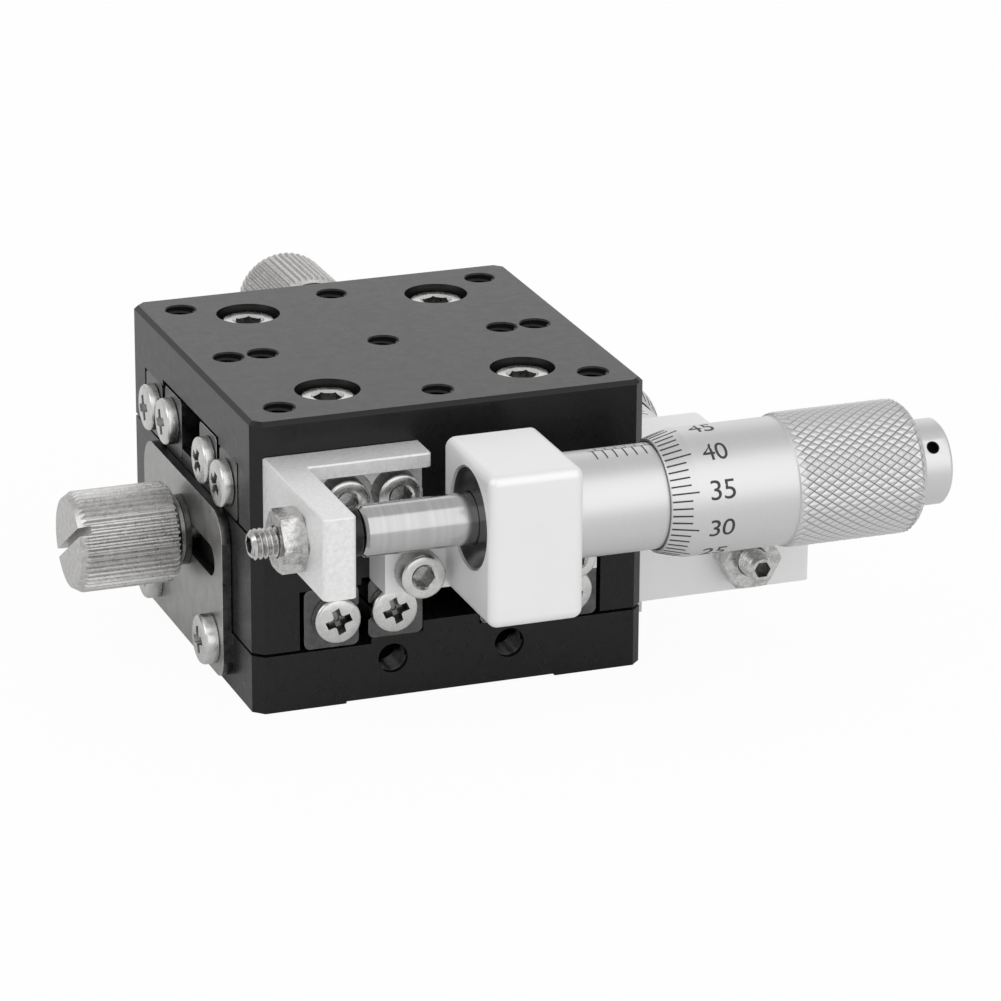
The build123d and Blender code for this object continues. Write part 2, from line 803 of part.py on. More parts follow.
    with BuildPart() as return_spring:
        loop = post_radius + hook_clearance + spring_wire / 2
        coil_start = pin_x + hook_length
        coil_end = post_x - hook_length
        coil_line = front(stage, 0, spring_height)
        turned(
            coil_line,
            (coil_start, 0),
            (coil_start, spring_radius),
            (coil_end, spring_radius),
            (coil_end, 0),
        )
        for centre, start in ((pin_x + loop, coil_start), (post_x - loop, coil_end)):
            with BuildSketch(across(stage, centre)):
                with Locations((0, spring_height)):
                    Circle(spring_wire / 2)
            extrude(amount=start - centre)
        for centre in (pin_x, post_x):
            eye = placed(stage, Plane(origin=(centre, 0, spring_height)))
            with BuildSketch(Plane(eye.origin, x_dir=eye.x_dir, z_dir=-eye.y_dir)):
                with Locations((loop, 0)):
                    Circle(spring_wire / 2)
            revolve(axis=Axis(eye.origin, eye.z_dir))
    save(return_spring, f"{axis}_return_spring")
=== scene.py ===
import json
import math

import bmesh
import bpy
from mathutils import Matrix, Vector


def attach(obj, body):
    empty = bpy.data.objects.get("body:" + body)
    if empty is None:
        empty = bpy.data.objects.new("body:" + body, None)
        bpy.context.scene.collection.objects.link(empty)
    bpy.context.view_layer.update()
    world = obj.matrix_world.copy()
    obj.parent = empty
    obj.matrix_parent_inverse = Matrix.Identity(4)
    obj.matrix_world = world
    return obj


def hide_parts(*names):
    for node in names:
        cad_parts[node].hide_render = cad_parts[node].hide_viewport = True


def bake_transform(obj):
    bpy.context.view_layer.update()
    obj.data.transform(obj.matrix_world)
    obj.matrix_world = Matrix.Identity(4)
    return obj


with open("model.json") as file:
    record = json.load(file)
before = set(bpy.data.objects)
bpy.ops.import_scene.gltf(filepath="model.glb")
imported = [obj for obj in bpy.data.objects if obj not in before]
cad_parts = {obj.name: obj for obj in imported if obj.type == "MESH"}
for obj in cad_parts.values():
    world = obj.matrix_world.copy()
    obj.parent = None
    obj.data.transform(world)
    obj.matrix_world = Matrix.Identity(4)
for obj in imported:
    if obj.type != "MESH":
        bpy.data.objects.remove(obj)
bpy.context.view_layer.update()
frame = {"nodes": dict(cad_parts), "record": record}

# Every piece is drawn in millimetres, standing on its own axis, and brought to metres and to its
# place at the end. Each stage has its own frame: x along the travel toward its thimble, z up
# from the seam between its two members. Heights and reaches repeat the solids.
toMetres = Matrix.Scale(0.001, 4)
stageFrames = {
    "x": Matrix.Translation((0, 0, 18)),
    "y": Matrix.Translation((0, 0, 6)) @ Matrix.Rotation(math.pi / 2, 4, "Z"),
}
lowerBody = {"x": "middle", "y": "base"}
upperBody = {"x": "table", "y": "middle"}
turningBody = {axis: f"{axis}_thimble" for axis in stageFrames}
onSpindle = (0, -31.0, 3.9)
facings = {
    "up": Matrix.Identity(4),
    "alongTravel": Matrix.Rotation(math.pi / 2, 4, "Y"),
    "againstTravel": Matrix.Rotation(-math.pi / 2, 4, "Y"),
    "front": Matrix.Rotation(math.pi / 2, 4, "X"),
    "back": Matrix.Rotation(-math.pi / 2, 4, "X"),
}


# Modelling helpers

mergeWithin = 0.0005


def deselectAll():
    if bpy.context.object and bpy.context.object.mode != "OBJECT":
        bpy.ops.object.mode_set(mode="OBJECT")
    bpy.ops.object.select_all(action="DESELECT")


def pickOnly(piece):
    deselectAll()
    piece.select_set(True)
    bpy.context.view_layer.objects.active = piece


def selectAll():
    bpy.ops.mesh.select_all(action="SELECT")


def editMode(piece, kind="VERT"):
    pickOnly(piece)
    bpy.ops.object.mode_set(mode="EDIT")
    bpy.ops.mesh.select_mode(type=kind)
    bpy.ops.mesh.select_all(action="DESELECT")


# Selects the corners, edges or faces that pass the test
def pick(piece, kind, test):
    shape = bmesh.from_edit_mesh(piece.data)
    for item in getattr(shape, kind):
        item.select_set(bool(test(item)))
    shape.select_flush_mode()
    bmesh.update_edit_mesh(piece.data)


def objectMode():
    bpy.ops.object.mode_set(mode="OBJECT")


def linked(name, data):
    piece = bpy.data.objects.new(name, data)
    bpy.context.scene.collection.objects.link(piece)
    return piece


def aboutAxis(degrees):
    return Matrix.Rotation(math.radians(degrees), 4, "Z")


def offAxis(point):
    return math.hypot(point.x, point.y)


def applyModifier(piece, kind, **values):
    pickOnly(piece)
    modifier = piece.modifiers.new(kind.title(), kind)
    for name, value in values.items():
        setattr(modifier, name, value)
    bpy.ops.object.modifier_apply(modifier=modifier.name)


def smoothOver(piece, degrees):
    pickOnly(piece)
    bpy.ops.object.shade_smooth_by_angle(angle=math.radians(degrees))


# Turns all faces outward, merges doubled corners where asked, and leaves edit mode
def closeShape(merge=False):
    selectAll()
    if merge:
        bpy.ops.mesh.remove_doubles(threshold=mergeWithin)
    bpy.ops.mesh.normals_make_consistent(inside=False)
    objectMode()


def extrudeBy(x, y, z):
    bpy.ops.mesh.extrude_region_move(TRANSFORM_OT_translate={"value": (x, y, z)})


# Scales what is selected about the upright axis
def scaleAcross(share):
    bpy.ops.transform.resize(value=(share, share, 1), center_override=(0, 0, 0))


def newPlane(name):
    deselectAll()
    bpy.ops.mesh.primitive_plane_add(size=1)
    bpy.context.object.name = name
    return bpy.context.object


# A plane is cut down to one corner, which is drawn out along the points; it stays in edit mode
def drawnLine(name, points, start=Vector((0, 0, 0))):
    line = newPlane(name)
    editMode(line)
    pick(line, "verts", lambda v: v.index > 0)
    bpy.ops.mesh.delete(type="VERT")
    selectAll()
    shape = bmesh.from_edit_mesh(line.data)
    shape.verts.ensure_lookup_table()
    bpy.ops.transform.translate(value=start + points[0] - shape.verts[0].co)
    for before, after in zip(points, points[1:]):
        extrudeBy(*(after - before))
    selectAll()
    return line


# A section is given as (radius, height) corners and spun about the upright axis
def turnedPiece(name, section, steps=64):
    piece = drawnLine(name, [Vector((radius, 0, height)) for radius, height in section])
    bpy.ops.mesh.spin(steps=steps, angle=2 * math.pi, center=(0, 0, 0), axis=(0, 0, 1))
    closeShape(merge=True)
    return piece


# Prism or frustum of a regular polygon between two heights; spread scales its top in x and y
def prism(name, sides, radius, bottom, top, spread=(1, 1)):
    deselectAll()
    bpy.ops.mesh.primitive_circle_add(vertices=sides, radius=radius, fill_type="NGON",
                                      location=(0, 0, bottom))
    piece = bpy.context.object
    piece.name = name
    bpy.ops.object.transform_apply(location=True, rotation=True, scale=True)
    editMode(piece)
    selectAll()
    extrudeBy(0, 0, top - bottom)
    if spread != (1, 1):
        bpy.ops.transform.resize(value=(*spread, 1), center_override=(0, 0, top))
    closeShape()
    return piece


# Cuts a tool out of a piece; with INTERSECT, what lies inside the tool is kept instead
def cutAway(piece, tool, operation="DIFFERENCE"):
    applyModifier(piece, "BOOLEAN", operation=operation, object=tool, solver="EXACT")
    bpy.data.objects.remove(tool)


def copied(piece, matrix):
    twin = linked(piece.name, piece.data.copy())
    twin.data.transform(matrix)
    return twin


def joined(name, pieces):
    deselectAll()
    for piece in pieces:
        piece.select_set(True)
    bpy.context.view_layer.objects.active = pieces[0]
    if len(pieces) > 1:
        bpy.ops.object.join()
    pieces[0].name = name
    return pieces[0]


# Gives a model its finish, and a second one to the faces that the test picks
def coat(model, finish, inner=None, test=None):
    model.data.materials.clear()
    model.data.materials.append(finishes[finish])
    if inner:
        model.data.materials.append(finishes[inner])
        for face in model.data.polygons:
            face.material_index = int(bool(test(face.center)))


# Copies a model to its places in a stage and makes one piece of them; a fourth number in a
# place turns that copy about its own axis, in degrees
def setOut(name, model, axis, facing, places):
    frameOf = toMetres @ stageFrames[axis]
    copies = []
    for x, y, z, *turn in places:
        seat = Matrix.Translation((x, y, z)) @ facings[facing]
        copies.append(copied(model, frameOf @ seat @ aboutAxis(turn[0] if turn else 0)))
    return joined(name, copies)


def finishPiece(piece, body, replaced=()):
    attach(piece, body)
    if replaced:
        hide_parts(*replaced)


# Sets one model out in both stages, with a finished piece in each; the model itself goes
def bothStages(label, model, facing, places, bodyOf, replaced=None):
    pieces = {}
    for axis in stageFrames:
        pieces[axis] = setOut(f"{axis}_{label}", model, axis, facing, places)
        finishPiece(pieces[axis], bodyOf[axis], [f"{axis}_{replaced}"] if replaced else ())
    bpy.data.objects.remove(model)
    return pieces


# Finishes

def nodeGroup(name, inputs, outputs):
    group = bpy.data.node_groups.new(name, "ShaderNodeTree")
    for label, kind, value in inputs:
        socket = group.interface.new_socket(label, in_out="INPUT", socket_type=kind)
        if value is not None:
            socket.default_value = value
    for label, kind in outputs:
        group.interface.new_socket(label, in_out="OUTPUT", socket_type=kind)
    return group, group.nodes.new("NodeGroupInput"), group.nodes.new("NodeGroupOutput")


def addNode(tree, kind, links=(), **values):
    node = tree.nodes.new(kind)
    for name, value in values.items():
        setattr(node, name, value)
    for source, target in links:
        if hasattr(source, "is_output"):
            tree.links.new(source, node.inputs[target])
        else:
            node.inputs[target].default_value = source
    return node


# Fine blasted grain: a close noise for the height and a broad one for colour and gloss
def blastedGrain():
    group, given, made = nodeGroup(
        "blastedGrain",
        [("Vector", "NodeSocketVector", None), ("Grain size", "NodeSocketFloat", 9000.0),
         ("Cloud size", "NodeSocketFloat", 120.0)],
        [("Height", "NodeSocketFloat"), ("Mottle", "NodeSocketFloat")],
    )
    grain = addNode(group, "ShaderNodeTexNoise",
                    [(given.outputs["Vector"], "Vector"), (given.outputs["Grain size"], "Scale"),
                     (2.0, "Detail"), (0.6, "Roughness")])
    cloud = addNode(group, "ShaderNodeTexNoise",
                    [(given.outputs["Vector"], "Vector"), (given.outputs["Cloud size"], "Scale"),
                     (6.0, "Detail"), (0.68, "Roughness")])
    group.links.new(grain.outputs["Fac"], made.inputs["Height"])
    group.links.new(cloud.outputs["Fac"], made.inputs["Mottle"])
    return group


# Lines left by a lathe or a brush: noise drawn out across the direction that Stretch scales down
def toolLines():
    group, given, made = nodeGroup(
        "toolLines",
        [("Vector", "NodeSocketVector", None), ("Stretch", "NodeSocketVector", (1, 1, 1)),
         ("Line size", "NodeSocketFloat", 6000.0)],
        [("Height", "NodeSocketFloat"), ("Streak", "NodeSocketFloat")],
    )
    scaled = addNode(group, "ShaderNodeVectorMath",
                     [(given.outputs["Vector"], 0), (given.outputs["Stretch"], 1)],
                     operation="MULTIPLY")
    lines = addNode(group, "ShaderNodeTexNoise",
                    [(scaled.outputs["Vector"], "Vector"), (given.outputs["Line size"], "Scale"),
                     (3.0, "Detail"), (0.7, "Roughness")])
    broad = addNode(group, "ShaderNodeMath", [(given.outputs["Line size"], 0), (0.45, 1)],
                    operation="MULTIPLY")
    streak = addNode(group, "ShaderNodeTexNoise",
                     [(scaled.outputs["Vector"], "Vector"), (broad.outputs["Value"], "Scale"),
                      (2.0, "Detail")])
    group.links.new(lines.outputs["Fac"], made.inputs["Height"])
    group.links.new(streak.outputs["Fac"], made.inputs["Streak"])
    return group


# Small scuffs and specks of dust, as a mask
def speckMask():
    group, given, made = nodeGroup(
        "speckMask",
        [("Vector", "NodeSocketVector", None), ("Speck size", "NodeSocketFloat", 900.0),
         ("Amount", "NodeSocketFloat", 0.3)],
        [("Mask", "NodeSocketFloat")],
    )
    field = addNode(group, "ShaderNodeTexNoise",
                    [(given.outputs["Vector"], "Vector"), (given.outputs["Speck size"], "Scale"),
                     (4.0, "Detail"), (0.75, "Roughness")])
    level = addNode(group, "ShaderNodeMath", [(0.9, 0), (given.outputs["Amount"], 1)],
                    operation="SUBTRACT")
    mask = addNode(group, "ShaderNodeMapRange",
                   [(field.outputs["Fac"], "Value"), (level.outputs["Value"], "From Min"),
                    (0.85, "From Max"), (0.0, "To Min"), (1.0, "To Max")])
    group.links.new(mask.outputs["Result"], made.inputs["Mask"])
    return group


groups = {"grain": blastedGrain(), "lines": toolLines(), "specks": speckMask()}


def groupNode(tree, name, links):
    return addNode(tree, "ShaderNodeGroup", links, node_tree=groups[name])


# A colour given as one number is a neutral grey
plainFinish = {"metallic": 1.0, "specular": 0.5, "surface": "grain", "cloud": 120.0}
bumpDepth = 0.00002
finishTable = {
    "blackAnodised": {"colour": (0.0075, 0.0075, 0.0078), "lighter": (0.0098, 0.0098, 0.0101),
                      "metallic": 0.0, "specular": 0.29, "gloss": (0.25, 0.33),
                      "grain": 5200.0, "cloud": 900.0, "bump": 0.42, "specks": 0.22},
    "clearAnodised": {"colour": 0.83, "lighter": 0.86, "metallic": 0.4, "gloss": (0.42, 0.50),
                      "grain": 7000.0, "bump": 0.25, "specks": 0.12},
    "blastedAluminium": {"colour": 0.72, "lighter": 0.87, "metallic": 0.4,
                         "gloss": (0.36, 0.52), "grain": 4200.0, "cloud": 2600.0,
                         "bump": 0.75, "specks": 0.20},
    "satinChrome": {"colour": 0.655, "lighter": 0.67, "gloss": (0.42, 0.45),
                    "surface": "lines", "grain": 9000.0, "bump": 0.03, "specks": 0.12},
    "knurlGroove": {"colour": 0.36, "lighter": 0.42, "gloss": (0.36, 0.44),
                    "grain": 5000.0, "bump": 0.10, "specks": 0.10},
    "nickelKnob": {"colour": (0.40, 0.395, 0.39), "lighter": (0.66, 0.65, 0.64),
                   "gloss": (0.22, 0.38), "grain": 4200.0, "cloud": 1800.0,
                   "bump": 0.85, "specks": 0.26},
    "platedScrews": {"colour": (0.56, 0.56, 0.55), "lighter": (0.74, 0.735, 0.72),
                     "gloss": (0.20, 0.34), "grain": 4200.0, "cloud": 900.0,
                     "bump": 0.30, "specks": 0.22},
    "screwRecess": {"colour": 0.12, "lighter": (0.34, 0.34, 0.33), "gloss": (0.22, 0.40),
                    "grain": 2500.0, "cloud": 1500.0, "bump": 0.40, "specks": 0.30},
    "keySocket": {"colour": 0.20, "lighter": (0.60, 0.59, 0.58), "gloss": (0.14, 0.30),
                  "grain": 2500.0, "cloud": 2200.0, "bump": 0.60, "specks": 0.34,
                  "speckColour": 0.05},
    "platedSteel": {"colour": (0.45, 0.45, 0.445), "lighter": (0.76, 0.75, 0.74),
                    "gloss": (0.12, 0.26), "grain": 3600.0, "cloud": 2900.0,
                    "bump": 0.55, "specks": 0.42, "speckColour": 0.05},
    "groundSteel": {"colour": 0.47, "lighter": 0.53, "gloss": (0.16, 0.22),
                    "surface": "lines", "grain": 5200.0, "bump": 0.09, "specks": 0.14},
    "railSteelAndShade": {"colour": 0.075, "lighter": 0.15, "gloss": (0.26, 0.40),
                  "grain": 3500.0, "cloud": 900.0, "bump": 0.24, "specks": 0.22},
    "railEdge": {"colour": (0.50, 0.50, 0.49), "lighter": (0.72, 0.71, 0.70),
                 "gloss": (0.20, 0.34), "grain": 3500.0, "cloud": 900.0,
                 "bump": 0.24, "specks": 0.20},
    "stainlessPlateAndShade": {"colour": (0.29, 0.29, 0.285), "lighter": (0.46, 0.46, 0.45),
                       "gloss": (0.26, 0.42), "grain": 3800.0, "cloud": 700.0,
                       "bump": 0.40, "specks": 0.27, "speckColour": 0.05},
    # Dark steel; on the cap-hole cups, stem collars and anvil pads it is painted shade
    "blackenedSteel": {"colour": 0.02, "lighter": 0.04, "gloss": (0.14, 0.24),
                       "grain": 3000.0, "cloud": 700.0, "bump": 0.12, "specks": 0.20},
    "cageSheet": {"colour": (0.42, 0.41, 0.38), "lighter": (0.52, 0.51, 0.47),
                  "gloss": (0.3, 0.42), "grain": 3000.0, "bump": 0.12, "specks": 0.15},
    "springWire": {"colour": (0.34, 0.33, 0.31), "lighter": (0.45, 0.43, 0.40),
                   "gloss": (0.22, 0.34), "grain": 3000.0, "bump": 0.12, "specks": 0.15},
    "markPaint": {"colour": 0.018, "lighter": 0.04, "metallic": 0.0, "gloss": (0.45, 0.6),
                  "grain": 5000.0, "bump": 0.05, "specks": 0.2},
}
# Turned pieces carry their lathe lines round the axis that they lie on
latheLines = {"x": (1, 0.02, 0.02), "y": (0.02, 1, 0.02)}
for finish in ("satinChrome", "groundSteel"):
    for axis, stretch in latheLines.items():
        finishTable[finish + axis.upper()] = {**finishTable[finish], "stretch": stretch}
    del finishTable[finish]


def tint(colour):
    return (*(colour if isinstance(colour, tuple) else (colour,) * 3), 1)


def emptyMaterial(name):
    material = bpy.data.materials.new(name)
    material.use_nodes = True
    material.node_tree.nodes.clear()
    return material, material.node_tree


def makeFinish(name, look):
    look = {**plainFinish, **look}
    material, tree = emptyMaterial(name)
    place = addNode(tree, "ShaderNodeTexCoord").outputs["Object"]
    if look["surface"] == "grain":
        surface = groupNode(tree, "grain", [(place, "Vector"), (look["grain"], "Grain size"),
                                            (look["cloud"], "Cloud size")])
        mottle = surface.outputs["Mottle"]
    else:
        surface = groupNode(tree, "lines", [(place, "Vector"), (look["grain"], "Line size"),
                                            (look["stretch"], "Stretch")])
        mottle = surface.outputs["Streak"]
    specks = groupNode(tree, "specks", [(place, "Vector"), (look["specks"], "Amount")])
    noiseSpan = [(mottle, "Value"), (0.3, "From Min"), (0.7, "From Max")]
    spread = addNode(tree, "ShaderNodeMapRange", noiseSpan)
    colour = addNode(tree, "ShaderNodeMix", [(spread.outputs["Result"], "Factor")],
                     data_type="RGBA")
    colour.inputs["A"].default_value = tint(look["colour"])
    colour.inputs["B"].default_value = tint(look["lighter"])
    worn = addNode(tree, "ShaderNodeMix",
                   [(specks.outputs["Mask"], "Factor"), (colour.outputs["Result"], "A")],
                   data_type="RGBA")
    paleFleck = min(1, 1.6 * tint(look["lighter"])[0] + 0.02)
    worn.inputs["B"].default_value = tint(look.get("speckColour", paleFleck))
    gloss = addNode(tree, "ShaderNodeMapRange",
                    noiseSpan + [(look["gloss"][0], "To Min"), (look["gloss"][1], "To Max")])
    bump = addNode(tree, "ShaderNodeBump",
                   [(surface.outputs["Height"], "Height"), (look["bump"], "Strength"),
                    (bumpDepth, "Distance")])
    shader = addNode(tree, "ShaderNodeBsdfPrincipled",
                     [(worn.outputs["Result"], "Base Color"),
                      (gloss.outputs["Result"], "Roughness"),
                      (bump.outputs["Normal"], "Normal"), (look["metallic"], "Metallic"),
                      (look["specular"], "Specular IOR Level")])
    addNode(tree, "ShaderNodeOutputMaterial", [(shader.outputs["BSDF"], "Surface")])
    return material


finishes = {name: makeFinish(name, look) for name, look in finishTable.items()}
print("finishes made:", len(finishes))

slotFinishes = {
    "black_anodised": "blackAnodised", "clear_anodised": "clearAnodised",
    "rail_steel": "railSteelAndShade", "plated_screws": "platedScrews", "satin_chrome": "satinChrome",
    "hard_steel": "groundSteel", "plated_steel": "platedSteel", "nickel_knob": "nickelKnob",
    "stainless_plate": "stainlessPlateAndShade", "cage_steel": "cageSheet", "spring_steel": "springWire",
}
slotOf = {part["node"]: part["material_slot"] for part in frame["record"]["subparts"]}


# The solids that stay: smooth curves, softly broken edges, a finish each

dressLook = {"weld": 0.0000005, "flat": 0.5, "sharp": 35, "segments": 2}
edgeBreaks = {"base": 0.10, "middle": 0.10, "table": 0.10, "rail": 0.10, "bracket": 0.08,
              "holder": 0.05, "plate": 0.08, "sleeve": 0.05, "cap": 0.06, "nut": 0.05}
# Pieces that look unlike the rest of their slot; the lock washers take the darker plate finish as
# painted shade beside the knobs
ownFinishes = {"x_push_bracket": "blastedAluminium", "x_lock_washer": "stainlessPlateAndShade",
               "y_lock_washer": "stainlessPlateAndShade"}


def dressNode(name, node):
    node.data.materials.clear()
    finish = ownFinishes.get(name, slotFinishes[slotOf[name]])
    node.data.materials.append(finishes.get(finish) or finishes[finish + name[0].upper()])
    # The rails' broken edges take a lighter finish: a painted highlight
    if finish == "railSteelAndShade":
        node.data.materials.append(finishes["railEdge"])
    if finish == "stainlessPlateAndShade":                         # bright faces, cut edges painted dark as painted shade, and broken edges with a painted highlight
        node.data.materials.append(finishes["railSteelAndShade"])
        node.data.materials.append(finishes["railEdge"])
        across = Vector((1, 0, 0) if name[0] == "y" else (0, 1, 0))
        turned = node.matrix_world.to_3x3().normalized()
        for face in node.data.polygons:
            face.material_index = int(abs((turned @ face.normal).dot(across)) < 0.5)
    for face in node.data.polygons:
        face.use_smooth = True
    weld = node.modifiers.new("weld", "WELD")
    weld.merge_threshold = dressLook["weld"]
    breakWidth = next((w for part, w in edgeBreaks.items() if part in name), 0)
    if breakWidth:
        flat = node.modifiers.new("flat", "DECIMATE")
        flat.decimate_type = "DISSOLVE"
        flat.angle_limit = math.radians(dressLook["flat"])
        edge = node.modifiers.new("edge", "BEVEL")
        edge.width = breakWidth / 1000
        edge.segments = dressLook["segments"]
        edge.limit_method = "ANGLE"
        edge.angle_limit = math.radians(dressLook["sharp"])
        edge.harden_normals = False
        edge.material = len(node.data.materials) - 1
    split = node.modifiers.new("split", "EDGE_SPLIT")
    split.split_angle = math.radians(dressLook["sharp"])
    even = node.modifiers.new("even", "WEIGHTED_NORMAL")
    even.weight = 100
    even.keep_sharp = True


for nodeName, node in frame["nodes"].items():
    dressNode(nodeName, node)
print("solids dressed:", len(frame["nodes"]))


# Screws

screwSizes = {
    "m3Cap": {"thread": 1.5, "head": 2.75, "height": 3.0, "key": 2.5, "socket": 1.2,
              "ribs": 52},
    "m25Cap": {"thread": 1.25, "head": 2.25, "height": 2.5, "key": 2.0, "socket": 1.3,
               "ribs": 44},
    "m25Pan": {"thread": 1.25, "head": 2.5, "height": 1.5, "cross": 2.8, "width": 0.92,
               "wings": 0.95, "point": 1.10},
    "m2Pan": {"thread": 1.0, "head": 2.35, "height": 1.3, "cross": 2.65, "width": 0.90,
              "wings": 0.95, "point": 1.10},
}
# A head's rounding is given as corners: how far in from its side, and how far below its top
screwRims = {
    "cap": {"foot": 0.12, "corners": [(0, 0.40), (0.05, 0.22), (0.16, 0.08), (0.34, 0)]},
    "pan": {"foot": 0.10, "corners": [(0, 0.46), (0.05, 0.30), (0.16, 0.17), (0.36, 0.09)]},
}
screwLook = {"tip": 0.2, "tipLength": 0.25, "ribDepth": 0.07, "mouth": 0.22, "smooth": 32}


def screwSection(size, length, rounding):
    thread, rim, foot = size["thread"], size["head"], rounding["foot"]
    corners = [(rim - inward, size["height"] - down) for inward, down in rounding["corners"]]
    return [(0, -length), (thread - screwLook["tip"], -length),
            (thread, -length + screwLook["tipLength"]), (thread, 0), (rim - foot, 0),
            (rim, foot)] + corners


# A cap screw's head is ribbed round its side; its key socket has a turned mouth
def capScrew(name, size, length):
    rim, height, ribs = size["head"], size["height"], 2 * size["ribs"]
    section = screwSection(size, length, screwRims["cap"])
    screw = turnedPiece(name, section + [(0, height)], ribs)
    editMode(screw)
    pick(screw, "verts", lambda v: offAxis(v.co) > rim - 0.01
         and round(math.atan2(v.co.y, v.co.x) * ribs / (2 * math.pi)) % 2)
    scaleAcross(1 - screwLook["ribDepth"] / rim)
    objectMode()
    across, floor = size["key"] / math.sqrt(3), height - size["socket"]
    cutAway(screw, prism("socket", 6, across, floor, height + 0.5))
    cutAway(screw, prism("mouth", 36, across * 0.90, height - screwLook["mouth"], height + 0.04,
                         (1.3, 1.3)))
    smoothOver(screw, screwLook["smooth"])
    # The socket's floor and walls take darker finishes: painted shade in the recess
    coat(screw, "platedScrews", "keySocket",
         lambda c: offAxis(c) < across and floor - 0.01 < c.z < floor + 0.05)
    screw.data.materials.append(finishes["screwRecess"])
    screw.data.materials.append(finishes["stainlessPlateAndShade"])
    for face in screw.data.polygons:
        out, rise = offAxis(face.center), face.center.z
        if out < across and floor + 0.05 < rise < height - 0.2:
            face.material_index = 2                        # the socket's walls, darker as painted shade
        elif out > rim - 0.09 and 0.15 < rise < height - 0.30:
            face.material_index = 3                        # the ribs
    return screw


# The cross is two tapered wings and a pointed middle, cut out of a low crowned head
def panScrew(name, size, length):
    rim, height, cross, width = (size[k] for k in ("head", "height", "cross", "width"))
    section = screwSection(size, length, screwRims["pan"])
    screw = turnedPiece(name, section + [(rim * 0.55, height - 0.02), (0, height)], 56)
    taper = (1.6, 1.75)
    wingSize = Matrix.Diagonal((cross / taper[0], width / taper[1], 1, 1))
    for turn in (0, 90):
        wing = prism("wing", 4, math.sqrt(0.5), height - size["wings"], height + 0.2, taper)
        wing.data.transform(aboutAxis(turn) @ wingSize @ aboutAxis(45))
        cutAway(screw, wing)
    cutAway(screw, prism("point", 16, 0.25, height - size["point"], height + 0.05, (2.9, 2.9)))
    smoothOver(screw, screwLook["smooth"])
    # The cross and point take a darker finish: painted shade in the recess
    coat(screw, "platedScrews", "screwRecess",
         lambda c: offAxis(c) < cross / 2 and -0.1 < c.z < height - 0.12)
    return screw


headSeat = 8.0                                             # the table's heads stand on this
screwRows = {
    "outer_rail_screws": ("cap", "m3Cap", 5.9, "up", upperBody,
                          [(-10, -12.5, headSeat, 8), (-10, 12.5, headSeat, 41),
                           (10, -12.5, headSeat, 25), (10, 12.5, headSeat, 52)]),
    "bracket_screws": ("cap", "m25Cap", 5.0, "front", upperBody,
                       [(-11.6, -21.0, 3.9, 12), (-6.3, -21.0, 3.9, 38)]),
    "holder_screws": ("cap", "m25Cap", 8.0, "front", lowerBody,
                      [(-5.275, -24.6, -3.1, 20), (10.125, -24.6, -3.1, 47)]),
    "lock_plate_screws": ("pan", "m25Pan", 5.5, "back", lowerBody,
                          [(-9.5, 21.0, -1.7, 12), (9.5, 21.0, -1.7, 60)]),
}
screwMakers = {"cap": capScrew, "pan": panScrew}
endScrews = {"outer": (11.9, 3.1, upperBody), "inner": (6.1, 3.5, lowerBody)}
endPlaces = [("alongTravel", 20, (33, 71)), ("againstTravel", -20, (68, 17))]
endModel = panScrew("endScrew", screwSizes["m2Pan"], 5.0)
for label, (kind, size, length, facing, bodyOf, places) in screwRows.items():
    model = screwMakers[kind](label, screwSizes[size], length)
    bothStages(f"{label}_cut", model, facing, places, bodyOf, label)
for axis in stageFrames:
    for row, (y, z, bodyOf) in endScrews.items():
        ends = [setOut("ends", endModel, axis, facing,
                       [(end, -y, z, turns[0]), (end, y, z, turns[1])])
                for facing, end, turns in endPlaces]
        piece = joined(f"{axis}_{row}_end_screws_cut", ends)
        finishPiece(piece, bodyOf[axis], [f"{axis}_{row}_end_screws"])
bpy.data.objects.remove(endModel)
print("screws made")


# Knurled lock knobs

knobLook = {"start": 22.35, "end": 32.65, "radius": 5.0, "root": 4.74, "teeth": 48,
            "chamfer": 0.5, "chamferLength": 0.85, "neck": 3.3, "neckStart": 21.55,
            "stud": 1.5, "studStart": 16.0, "slotWidth": 0.85, "slotDepth": 1.2, "slotTurn": 32,
            "axisHeight": 6.3}


def knurledKnob(look):
    knob = prism("knob", 4 * look["teeth"], look["radius"], look["start"], look["end"])
    editMode(knob)
    step = math.pi / 2 / look["teeth"]
    pick(knob, "verts", lambda v: round(math.atan2(v.co.x, v.co.y) / step) % 4 in (2, 3))
    scaleAcross(look["root"] / look["radius"])
    objectMode()
    outside, inside = look["radius"] + 0.001, look["radius"] - look["chamfer"]
    envelope = turnedPiece("envelope", [
        (0, look["start"] - 0.01), (inside, look["start"] - 0.01),
        (outside, look["start"] + look["chamfer"]), (outside, look["end"] - look["chamferLength"]),
        (inside, look["end"]), (inside - 0.15, look["end"]), (0, look["end"])], 96)
    cutAway(knob, envelope, "INTERSECT")
    deselectAll()
    bpy.ops.mesh.primitive_cube_add(size=1, location=(0, 0, look["end"]))
    slotCutter = bpy.context.object
    slotSize = (4 * look["radius"], look["slotWidth"], 2 * look["slotDepth"], 1)
    slotCutter.data.transform(Matrix.Diagonal(slotSize))
    slotCutter.data.transform(aboutAxis(look["slotTurn"]))
    cutAway(knob, slotCutter)
    stem = turnedPiece("stem", [
        (0, look["studStart"]), (look["stud"] - 0.2, look["studStart"]),
        (look["stud"], look["studStart"] + 0.2), (look["stud"], look["neckStart"]),
        (look["neck"] - 0.08, look["neckStart"]), (look["neck"], look["neckStart"] + 0.08),
        (look["neck"], look["start"] + 0.1), (0, look["start"] + 0.1)], 48)
    knob = joined("knob", [knob, stem])
    smoothOver(knob, 25)
    # The neck and stud take the darker plate finish: painted shade beside the knob
    coat(knob, "nickelKnob", "stainlessPlateAndShade", lambda c: c.z < look["start"] - 0.02)
    return knob


